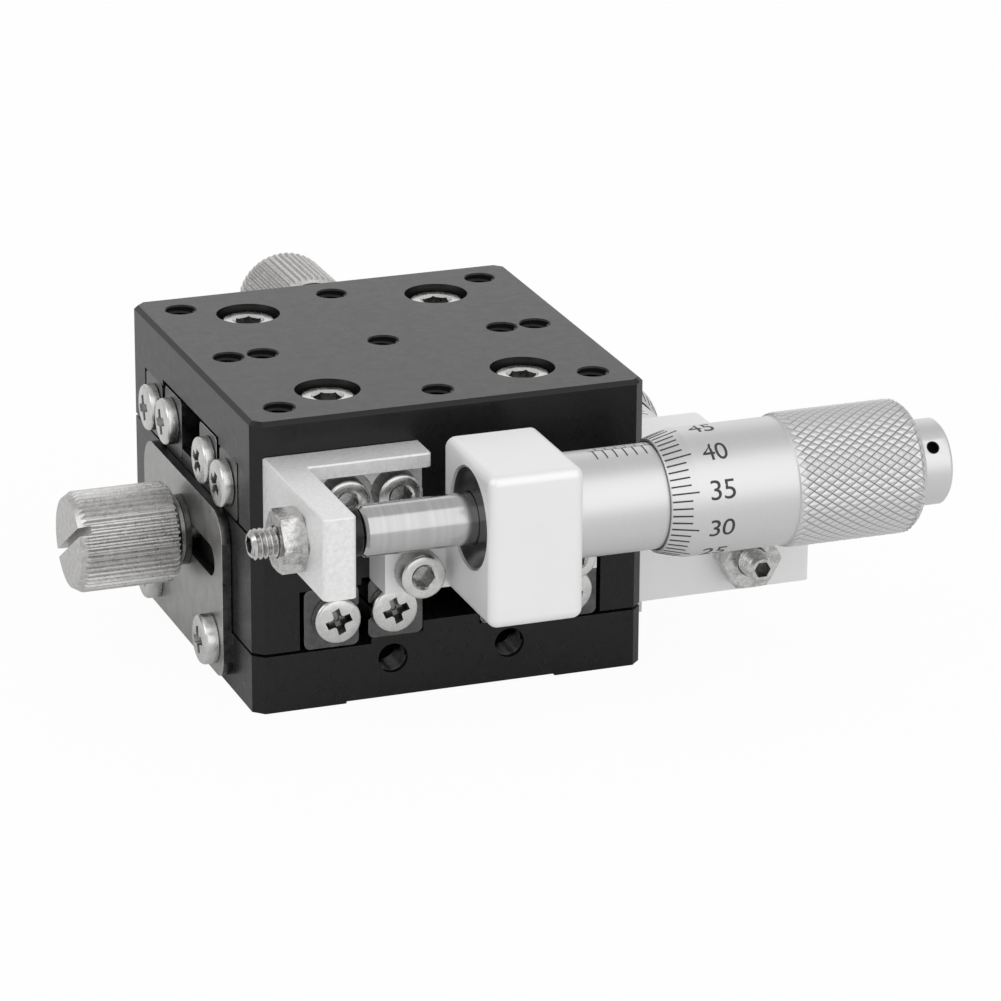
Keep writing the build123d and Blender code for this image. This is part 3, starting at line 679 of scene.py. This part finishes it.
model = knurledKnob(knobLook)
for axis in stageFrames:
    knob = setOut(f"{axis}_lock_knob_knurled", model, axis, "back",
                  [(0, 0, knobLook["axisHeight"], -knobLook["slotTurn"] if axis == "x" else 0)])
    finishPiece(knob, f"{axis}_lock", [f"{axis}_lock_knob"])
bpy.data.objects.remove(model)
print("lock knobs made")


# Thimbles: cone, graduations, numbers and a diamond knurl

thimbleLook = {"edge": 16.1, "coneEnd": 18.7, "bore": 5.25, "edgeRadius": 5.5, "radius": 6.2,
               "gripStart": 28.9, "gripEnd": 42.4, "grip": 6.55, "crown": 0.10, "root": 6.39,
               "rim": 5.62, "startFold": 5.9, "endFold": 5.3, "rodHole": 2.52, "floor": 38.0,
               "diamonds": 46, "rows": 20, "chamferRows": 2, "sunk": 0.999, "groove": 0.045,
               "slope": 0.25, "shortEnd": 18.05, "lineWidth": 0.15, "paint": 0.015,
               "divisions": 50, "seen": 35, "numberTurn": 19.0, "numberStart": 19.85,
               "numberHeight": 1.9, "numberWidth": 2.5, "digitWidth": 0.46, "digitHeight": 0.70,
               "digitGap": 0.95}


def thimbleBody(look):
    body = turnedPiece("thimbleBody", [
        (look["bore"], look["edge"]), (look["edgeRadius"] - 0.05, look["edge"]),
        (look["edgeRadius"], look["edge"] + 0.06), (look["radius"], look["coneEnd"]),
        (look["radius"], look["gripStart"]), (look["root"] - 0.02, look["gripStart"] + 0.12),
        (look["root"] - 0.02, look["gripEnd"] - 1.1),
        (look["rim"] - 0.12, look["gripEnd"] - 0.02), (look["rodHole"], look["gripEnd"] - 0.02),
        (look["rodHole"], look["floor"]), (look["bore"], look["floor"]),
        (look["bore"], look["edge"])], 96)
    smoothOver(body, 12)
    coat(body, "satinChromeX")
    return body


def diamondKnurl(look):
    count = 2 * look["diamonds"]
    start, end = look["gripStart"] + 0.1, look["gripEnd"] - 0.9
    rows, chamferRows = look["rows"], look["chamferRows"]
    deselectAll()
    bpy.ops.mesh.primitive_circle_add(vertices=count, radius=look["root"], fill_type="NOTHING")
    knurl = bpy.context.object
    knurl.name = "knurl"
    editMode(knurl)
    selectAll()
    bpy.ops.transform.translate(value=(0, 0, start))
    rise = (end - start) / rows
    for row in range(rows):
        extrudeBy(0, 0, rise)
    heights = [start + row * rise for row in range(rows + 1)]
    shrink = (look["rim"] / look["root"]) ** (1 / chamferRows)
    for row in range(chamferRows):
        step = (look["gripEnd"] - end) / chamferRows
        extrudeBy(0, 0, step)
        scaleAcross(shrink)
        heights.append(end + (row + 1) * step)
    turn = math.pi / look["diamonds"]

    def inGroove(v):
        row = min(range(len(heights)), key=lambda i: abs(heights[i] - v.co.z))
        column = round(math.atan2(v.co.y, v.co.x) / turn)
        return (row + column) % 2

    pick(knurl, "verts", inGroove)                         # grooves run between these corners
    scaleAcross(look["sunk"])
    selectAll()
    bpy.ops.mesh.quads_convert_to_tris(quad_method="SHORTEST_DIAGONAL")
    pick(knurl, "verts",
         lambda v: not inGroove(v) and heights[0] + 0.1 < v.co.z < heights[-1] - 0.1)
    bpy.ops.mesh.dissolve_verts()
    bpy.ops.mesh.select_mode(type="FACE")
    selectAll()
    bpy.ops.mesh.normals_make_consistent(inside=False)
    pick(knurl, "faces", lambda f: len(f.verts) == 4)
    # The groove walls take a darker finish: painted shade in the grooves
    knurl.data.materials.append(finishes["satinChromeX"])
    knurl.data.materials.append(finishes["knurlGroove"])
    bpy.ops.mesh.inset(use_individual=True, thickness=look["groove"],
                       depth=look["grip"] - look["crown"] - look["root"])
    shape = bmesh.from_edit_mesh(knurl.data)
    for face in shape.faces:
        face.material_index = int(len(face.verts) == 4 and not face.select)
    bmesh.update_edit_mesh(knurl.data)
    bpy.ops.mesh.inset(use_individual=True, thickness=look["slope"], depth=look["crown"])
    bpy.ops.mesh.select_mode(type="VERT")
    for end, ring, fold in ((heights[0], "root", "startFold"), (heights[-1], "rim", "endFold")):
        bpy.ops.mesh.select_all(action="DESELECT")
        bpy.ops.mesh.select_mode(type="EDGE")
        pick(knurl, "edges", lambda e: e.is_boundary and abs(e.verts[0].co.z - end) < 0.05)
        extrudeBy(0, 0, 0)
        scaleAcross(look[fold] / look[ring])
    bpy.ops.mesh.select_all(action="DESELECT")
    pick(knurl, "edges", lambda e: e.is_boundary)
    bpy.ops.mesh.bridge_edge_loops()
    closeShape()
    return knurl


# A thin bar of paint along the upright axis at the front of the piece, later turned about it
def paintBar(name, low, high, width, thickness):
    bar = newPlane(name)
    editMode(bar)
    selectAll()
    middle, reach = (Vector(low) + Vector(high)) / 2, Vector(high) - Vector(low)
    bpy.ops.transform.resize(value=(width, reach.length, 1))
    extrudeBy(0, 0, 2 * thickness)
    selectAll()
    bpy.ops.transform.translate(value=(0, 0, -thickness))
    closeShape()
    side, along = Vector((1, 0, 0)), reach.normalized()
    basis = Matrix((side, along, side.cross(along))).transposed()
    bar.data.transform(Matrix.Translation(middle) @ basis.to_4x4())
    return bar


def numberOn(text, look):
    deselectAll()
    bpy.ops.object.text_add()
    number = bpy.context.object
    number.data.body = text
    number.data.size = look["numberHeight"] / look["digitHeight"]
    number.data.extrude = look["paint"]
    number.data.resolution_u = 6
    number.data.space_character = look["digitGap"]
    bpy.ops.object.convert(target="MESH")
    number = bpy.context.object
    xs = [v.co.x for v in number.data.vertices]
    ys = [v.co.y for v in number.data.vertices]
    wide = look["numberWidth"] * (1 if len(text) == 2 else look["digitWidth"])
    stretch = wide / (max(xs) - min(xs))
    middle = (max(ys) + min(ys)) / 2
    radius = look["radius"]
    for v in number.data.vertices:
        along = look["numberStart"] + (v.co.x - min(xs)) * stretch
        turn = (v.co.y - middle) / radius
        reach = radius + v.co.z
        v.co = (-reach * math.sin(turn), -reach * math.cos(turn), along)
    return number


# Angles count up from the front of the standing model; the number 35 is the one seen there
def thimbleMarks(look):
    marks = []
    slope = (look["radius"] - look["edgeRadius"]) / (look["coneEnd"] - look["edge"])

    def turnTo(division):
        degrees = look["numberTurn"] + (division - look["seen"]) * 360 / look["divisions"]
        return aboutAxis(-degrees)

    def onCone(height):
        return (0, -(look["edgeRadius"] + slope * (height - look["edge"])), height)

    for division in range(look["divisions"]):
        end = look["shortEnd"] if division % 5 else look["coneEnd"]
        bar = paintBar("bar", onCone(look["edge"] + 0.08), onCone(end), look["lineWidth"],
                       look["paint"])
        bar.data.transform(turnTo(division))
        marks.append(bar)
    for number in range(0, look["divisions"], 5):
        figure = numberOn(str(number), look)
        figure.data.transform(turnTo(number))
        marks.append(figure)
    return joined("marks", marks)


# The thimble stands with its axis up and its front at -y; laid along the travel its top is at -x
thimbleModel = joined("thimbleModel", [thimbleBody(thimbleLook), diamondKnurl(thimbleLook)])
markModel = thimbleMarks(thimbleLook)
coat(markModel, "markPaint")
thimbles = bothStages("thimble_knurled", thimbleModel, "alongTravel", [onSpindle],
                      turningBody, "thimble")
for axis, thimble in thimbles.items():
    thimble.data.materials[0] = finishes["satinChrome" + axis.upper()]
bothStages("thimble_marks", markModel, "alongTravel", [onSpindle], turningBody)
print("thimbles made")


# Sleeve scales

sleeveLook = {"radius": 5.1, "first": 10.1, "count": 14, "width": 0.14, "fine": 0.07,
              "paint": 0.012, "datum": 92, "millimetreEnd": 73, "halfEnd": 101}


# A painted line that runs round a cylinder, drawn as a small rectangle and spun along its arc
def paintArc(radius, at, low, high, width, paint):
    arc = newPlane("arc")
    arc.data.transform(Matrix.Translation((0, -radius, at))
                       @ Matrix.Diagonal((1, 2 * paint, width, 1))
                       @ Matrix.Rotation(math.pi / 2, 4, "Y"))
    arc.data.transform(aboutAxis(-low))
    editMode(arc)
    selectAll()
    bpy.ops.mesh.spin(steps=6, angle=math.radians(high - low), center=(0, 0, 0), axis=(0, 0, 1))
    selectAll()
    bpy.ops.mesh.fill_holes(sides=0)
    closeShape(merge=True)
    return arc


def sleeveScale(look):
    marks = []
    for half in range(2 * look["count"] - 1):
        ends, width = ("millimetreEnd", "datum"), look["width"]
        if half % 2:
            ends, width = ("datum", "halfEnd"), look["fine"]
        marks.append(paintArc(look["radius"], look["first"] + half / 2, look[ends[0]],
                              look[ends[1]], width, look["paint"]))
    datum = paintBar("datum", (0, -look["radius"], look["first"] - 0.4),
                     (0, -look["radius"], look["first"] + look["count"] - 0.6),
                     look["fine"], look["paint"])
    datum.data.transform(aboutAxis(-look["datum"]))
    marks.append(datum)
    return joined("scale", marks)


scaleModel = sleeveScale(sleeveLook)
coat(scaleModel, "markPaint")
bothStages("sleeve_scale", scaleModel, "alongTravel", [onSpindle], lowerBody)
print("sleeve scales made")


holeShadeLook = {"along": 44.0, "turn": 39.0, "outer": 0.64, "inner": 0.56, "top": 4.14,
              "bottom": 2.92, "floor": 0.08}


# A thin dark cup sits in each spanner hole of the caps: painted shade for the hole's dark inside
def holeLining(look):
    cup = turnedPiece("cup", [
        (0, look["bottom"]), (look["outer"], look["bottom"]), (look["outer"], look["top"]),
        (look["inner"], look["top"]), (look["inner"], look["bottom"] + look["floor"]),
        (0, look["bottom"] + look["floor"])], 32)
    smoothOver(cup, 30)
    coat(cup, "blackenedSteel")
    return cup


holeShadeModel = holeLining(holeShadeLook)
for axis in stageFrames:
    lean = (Matrix.Translation((holeShadeLook["along"], *onSpindle[1:]))
            @ Matrix.Rotation(math.radians(90 - holeShadeLook["turn"]), 4, "X"))
    holeShade = copied(holeShadeModel, toMetres @ stageFrames[axis] @ lean)
    holeShade.name = f"{axis}_cap_hole_shade"
    finishPiece(holeShade, f"{axis}_thimble")
bpy.data.objects.remove(holeShadeModel)
print("cap holes lined")


# Dark collars on the ends of the stems, seen inside the holders: the dark finish is painted shade
# in the bore, and the lighter outer chamfer is a painted highlight

collarLook = {"start": -2.12, "end": -1.48, "bore": 2.54, "radius": 4.96, "inner": 0.1,
              "outer": 0.15}


def stemCollar(look):
    start, end, bore, radius = (look[k] for k in ("start", "end", "bore", "radius"))
    collar = turnedPiece("collar", [
        (bore, start + look["inner"]), (bore + look["inner"], start),
        (radius - look["outer"], start), (radius, start + look["outer"]), (radius, end),
        (bore, end), (bore, start + look["inner"])], 72)
    smoothOver(collar, 28)
    # Dark finish as painted shade in the bore; the outer chamfer gets a painted highlight
    coat(collar, "blackenedSteel", "railEdge",
         lambda c: offAxis(c) > radius - 0.12 and c.z < start + 0.14)
    return collar


bothStages("stem_collar", stemCollar(collarLook), "alongTravel", [onSpindle], lowerBody)
print("stem collars made")


# Threads: anvil screws and tapped holes

threadLook = {"steps": 28, "merge": 0.002, "smooth": 28}


# Winds a drawn flank line up the axis, one turn for each pitch
def windUp(line, pitch, turns):
    applyModifier(line, "SCREW", angle=2 * math.pi, screw_offset=pitch, axis="Z",
                  steps=threadLook["steps"], render_steps=threadLook["steps"], iterations=turns,
                  use_merge_vertices=True, merge_threshold=threadLook["merge"])


def threadedRod(name, crest, root, pitch, bottom, top):
    flank = [Vector((root, 0, 0)), Vector((crest, 0, pitch * 0.40)),
             Vector((crest, 0, pitch * 0.56)), Vector((root, 0, pitch))]
    rod = drawnLine(name, flank, Vector((0, 0, bottom - 1.5 * pitch)))
    objectMode()
    windUp(rod, pitch, math.ceil((top - bottom) / pitch) + 3)
    editMode(rod)
    for height, side in ((bottom, -1), (top, 1)):
        selectAll()
        bpy.ops.mesh.bisect(plane_co=(0, 0, height), plane_no=(0, 0, side), use_fill=True,
                            clear_outer=True)
    closeShape(merge=True)
    return rod


anvilLook = {"tail": -23.9, "shoulder": -15.25, "end": -13.25, "crest": 1.48, "root": 1.17,
             "pitch": 0.5, "pad": 2.4, "padCut": 0.3, "tailCut": 0.4, "key": 1.5, "socket": 1.4}


def anvilScrew(look):
    tail, shoulder, crest = look["tail"], look["shoulder"], look["crest"]
    rod = threadedRod("rod", crest, look["root"], look["pitch"], tail, shoulder + 0.2)
    envelope = turnedPiece("envelope", [
        (0, tail - 0.01), (crest - look["tailCut"], tail - 0.01),
        (crest + 0.02, tail + look["tailCut"]), (crest + 0.02, shoulder + 0.3),
        (0, shoulder + 0.3)], 48)
    cutAway(rod, envelope, "INTERSECT")
    across, floor = look["key"] / math.sqrt(3), tail + look["socket"]
    cutAway(rod, prism("socket", 6, across, tail - 0.5, floor))
    smoothOver(rod, threadLook["smooth"])
    # The key socket takes a darker finish: painted shade in the recess
    coat(rod, "platedSteel", "screwRecess",
         lambda c: offAxis(c) < across + 0.01 and tail + 0.02 < c.z < floor + 0.05)
    return rod


def anvilPad(look):
    pad = turnedPiece("pad", [
        (0, look["shoulder"]), (look["pad"] - 0.12, look["shoulder"]),
        (look["pad"], look["shoulder"] + 0.12), (look["pad"], look["end"] - look["padCut"]),
        (look["pad"] - look["padCut"], look["end"]), (0, look["end"])], 64)
    smoothOver(pad, 28)
    # The pad's dark finish is painted shade for the dark gap between the arm and the spindle
    coat(pad, "blackenedSteel")
    return pad


bothStages("anvil_rod", anvilScrew(anvilLook), "alongTravel", [onSpindle], upperBody,
           "anvil_screw")
bothStages("anvil_pad", anvilPad(anvilLook), "alongTravel", [onSpindle], upperBody)

tapLook = {"wall": 1.56, "tip": 1.25, "pitch": 0.5, "top": -0.10, "turns": 7, "face": 11.6,
           "corner": 16, "row": 12.5, "frontStart": 19.7, "frontSide": 6, "frontHeight": 4.1}


# A ridge that winds down inside a tapped hole, its foot sunk in the wall
def tapThread(look):
    wall, tip, pitch = look["wall"], look["tip"], look["pitch"]
    flank = [Vector((wall, 0, 0)), Vector((tip, 0, pitch * 0.40)),
             Vector((tip, 0, pitch * 0.52)), Vector((wall, 0, pitch * 0.92))]
    ridge = drawnLine("ridge", flank, Vector((0, 0, look["top"] - look["turns"] * pitch)))
    bpy.ops.mesh.edge_face_add()
    objectMode()
    windUp(ridge, pitch, look["turns"] - 1)
    editMode(ridge)
    selectAll()
    bpy.ops.mesh.fill_holes(sides=0)
    closeShape()
    smoothOver(ridge, threadLook["smooth"])
    coat(ridge, "blackAnodised")
    return ridge


ridgeModel = tapThread(tapLook)
grid, row = (-tapLook["corner"], 0, tapLook["corner"]), tapLook["row"]
tapPlaces = [(x, y) for x in grid for y in grid] + [(-row, 0), (row, 0)]
ridges = setOut("table_tap_threads", ridgeModel, "x", "up",
                [(x, y, tapLook["face"]) for x, y in tapPlaces])
finishPiece(ridges, "table")
frontRidges = joined("base_tap_threads", [
    copied(ridgeModel, toMetres @ Matrix.Translation(
        (side * tapLook["frontSide"], -tapLook["frontStart"], tapLook["frontHeight"]))
        @ facings["front"])
    for side in (-1, 1)])
coat(frontRidges, "blackenedSteel")
finishPiece(frontRidges, "base")
bpy.data.objects.remove(ridgeModel)
print("threads made")


# Return springs: a coil between two hooks, each with an eye round its pin or post

springLook = {"post": 15.0, "pin": -9.0, "height": 4.2, "hook": 5.5, "coil": 1.65, "wire": 0.25,
              "eye": 1.25, "eyeArc": 200, "eyeSteps": 10, "turns": 20, "pointsPerTurn": 12}
coilEnds = (springLook["post"] - springLook["hook"], springLook["pin"] + springLook["hook"])


def springLine(look):
    end, start = coilEnds
    pin, post, eye = look["pin"], look["post"], look["eye"]
    swings = [look["eyeArc"] * i / look["eyeSteps"] for i in range(look["eyeSteps"] + 1)]
    points = []
    for swing in swings[:-1]:
        a = math.radians(look["eyeArc"] - swing)
        points.append((pin + eye * math.cos(a), eye * math.sin(a), 0))
    points += [(pin + eye, 0.1, 0), (pin + eye + 0.9, 0, 0), (start - 1.1, 0, 0),
               (start - 0.4, 0.5, 0)]
    count = look["turns"] * look["pointsPerTurn"]
    for i in range(count + 1):
        a = 2 * math.pi * i / look["pointsPerTurn"]
        points.append((start + (end - start) * i / count, look["coil"] * math.cos(a),
                       look["coil"] * math.sin(a)))
    points += [(end + 0.4, 0.5, 0), (end + 1.1, 0, 0), (post - eye - 0.9, 0, 0)]
    for swing in swings:
        a = math.radians(180 - swing)
        points.append((post + eye * math.cos(a), -eye * math.sin(a), 0))
    return points


def coilSpring(look):
    data = bpy.data.curves.new("spring", "CURVE")
    data.dimensions = "3D"
    line = data.splines.new("NURBS")
    points = springLine(look)
    line.points.add(len(points) - 1)
    for point, place in zip(line.points, points):
        point.co = (place[0], place[1], place[2] + look["height"], 1)
    line.order_u = 4
    line.use_endpoint_u = True
    line.resolution_u = 2
    data.bevel_depth = look["wire"]
    data.bevel_resolution = 2
    data.use_fill_caps = True
    pickOnly(linked("spring", data))
    bpy.ops.object.convert(target="MESH")
    spring = bpy.context.object
    smoothOver(spring, 60)
    return spring


springModel = coilSpring(springLook)
for axis, frameOf in stageFrames.items():
    spring = copied(springModel, toMetres @ frameOf)
    spring.name = f"{axis}_return_spring_coil"
    spring.data.materials.append(finishes["springWire"])
    ends = [(toMetres @ frameOf @ Vector((x, 0, springLook["height"]))) for x in coilEnds]
    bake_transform(spring)
    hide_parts(f"{axis}_return_spring")
bpy.data.objects.remove(springModel)
print("springs made")


# Camera, light and floor

# Angles are in degrees; shift moves the eye sideways and up; focal is in widths of the picture
cameraLook = {"turn": -20.484, "rise": 20.037, "roll": 0.313, "distance": 0.513782,
              "shift": (0.011747, 0.01194), "focal": 5097.034 / 1001, "sensor": 36,
              "clip": (0.01, 20)}


def placeCamera(look):
    turn, rise, roll = (math.radians(look[k]) for k in ("turn", "rise", "roll"))
    level = math.cos(rise)
    back = Vector((math.sin(turn) * level, -math.cos(turn) * level, math.sin(rise)))
    right = Vector((math.cos(turn), math.sin(turn), 0))
    up = back.cross(right)
    across = right * math.cos(roll) + up * math.sin(roll)
    upright = up * math.cos(roll) - right * math.sin(roll)
    eye = back * look["distance"] + across * look["shift"][0] + upright * look["shift"][1]
    data = bpy.data.cameras.new("camera")
    data.sensor_width = look["sensor"]
    data.lens = look["focal"] * look["sensor"]
    data.clip_start, data.clip_end = look["clip"]
    camera = linked("camera", data)
    basis = Matrix((across, upright, back)).transposed()
    camera.matrix_world = Matrix.Translation(eye) @ basis.to_4x4()
    bpy.context.scene.camera = camera


placeCamera(cameraLook)

lampTable = {
    "frontBox": {"place": (0.20, -0.93, 0.57), "size": 1.80, "power": 7.1},
    "leftBox": {"place": (-0.60, -0.10, 0.45), "size": 0.50, "power": 0.9},
    "backBox": {"place": (0.37, 0.98, 0.40), "size": 0.90, "power": 0.95},
}
aim = Vector((0.005, -0.005, 0.015))
for name, lamp in lampTable.items():
    light = bpy.data.lights.new(name, "AREA")
    light.shape = "SQUARE"
    light.size = lamp["size"]
    light.energy = lamp["power"]
    holder = linked(name, light)
    holder.location = lamp["place"]
    holder.visible_camera = False
    holder.rotation_euler = (aim - Vector(lamp["place"])).to_track_quat("-Z", "Y").to_euler()

# How bright the world is to plain rays, and the least that the others see
worldLook = {"strength": 0.68, "rays": {"Is Glossy Ray": 0.71, "Is Camera Ray": 1.0,
                                        "Is Transmission Ray": 1.0}}
floorLook = {"cells": 8, "size": 6, "Is Camera Ray": 0.96, "Is Glossy Ray": 0.20, "paint": 0.80,
             "glow": 1.0}


def scaledRay(tree, path, ray, share):
    links = [(path.outputs[ray], 0), (share, 1)]
    return addNode(tree, "ShaderNodeMath", links, operation="MULTIPLY").outputs["Value"]


def larger(tree, first, second):
    links = [(first, 0), (second, 1)]
    return addNode(tree, "ShaderNodeMath", links, operation="MAXIMUM").outputs["Value"]


def paleWorld(look):
    world = bpy.data.worlds.new("studio")
    bpy.context.scene.world = world
    world.use_nodes = True
    tree = world.node_tree
    tree.nodes.clear()
    path = addNode(tree, "ShaderNodeLightPath")
    strength = look["strength"]
    for ray, share in look["rays"].items():
        strength = larger(tree, strength, scaledRay(tree, path, ray, share))
    white = addNode(tree, "ShaderNodeBackground", [(tint(1.0), "Color"), (strength, "Strength")])
    addNode(tree, "ShaderNodeOutputWorld", [(white.outputs["Background"], "Surface")])


# The floor glows to the camera and to mirrored rays, and is pale paint to all others
def paleFloor(look):
    deselectAll()
    bpy.ops.mesh.primitive_grid_add(x_subdivisions=look["cells"], y_subdivisions=look["cells"],
                                    size=look["size"])
    floor = bpy.context.object
    floor.name = "floor"
    material, tree = emptyMaterial("floor")
    path = addNode(tree, "ShaderNodeLightPath")
    share = larger(tree, *[scaledRay(tree, path, ray, look[ray])
                           for ray in ("Is Camera Ray", "Is Glossy Ray")])
    paint = addNode(tree, "ShaderNodeBsdfDiffuse", [(tint(look["paint"]), "Color")])
    glow = addNode(tree, "ShaderNodeEmission", [(tint(1.0), "Color"), (look["glow"], "Strength")])
    mixed = addNode(tree, "ShaderNodeMixShader", [(share, "Fac"), (paint.outputs["BSDF"], 1),
                                                  (glow.outputs["Emission"], 2)])
    addNode(tree, "ShaderNodeOutputMaterial", [(mixed.outputs["Shader"], "Surface")])
    floor.data.materials.append(material)


paleWorld(worldLook)
paleFloor(floorLook)
bpy.context.scene.view_settings.view_transform = "Standard"
print("camera, light and floor set")
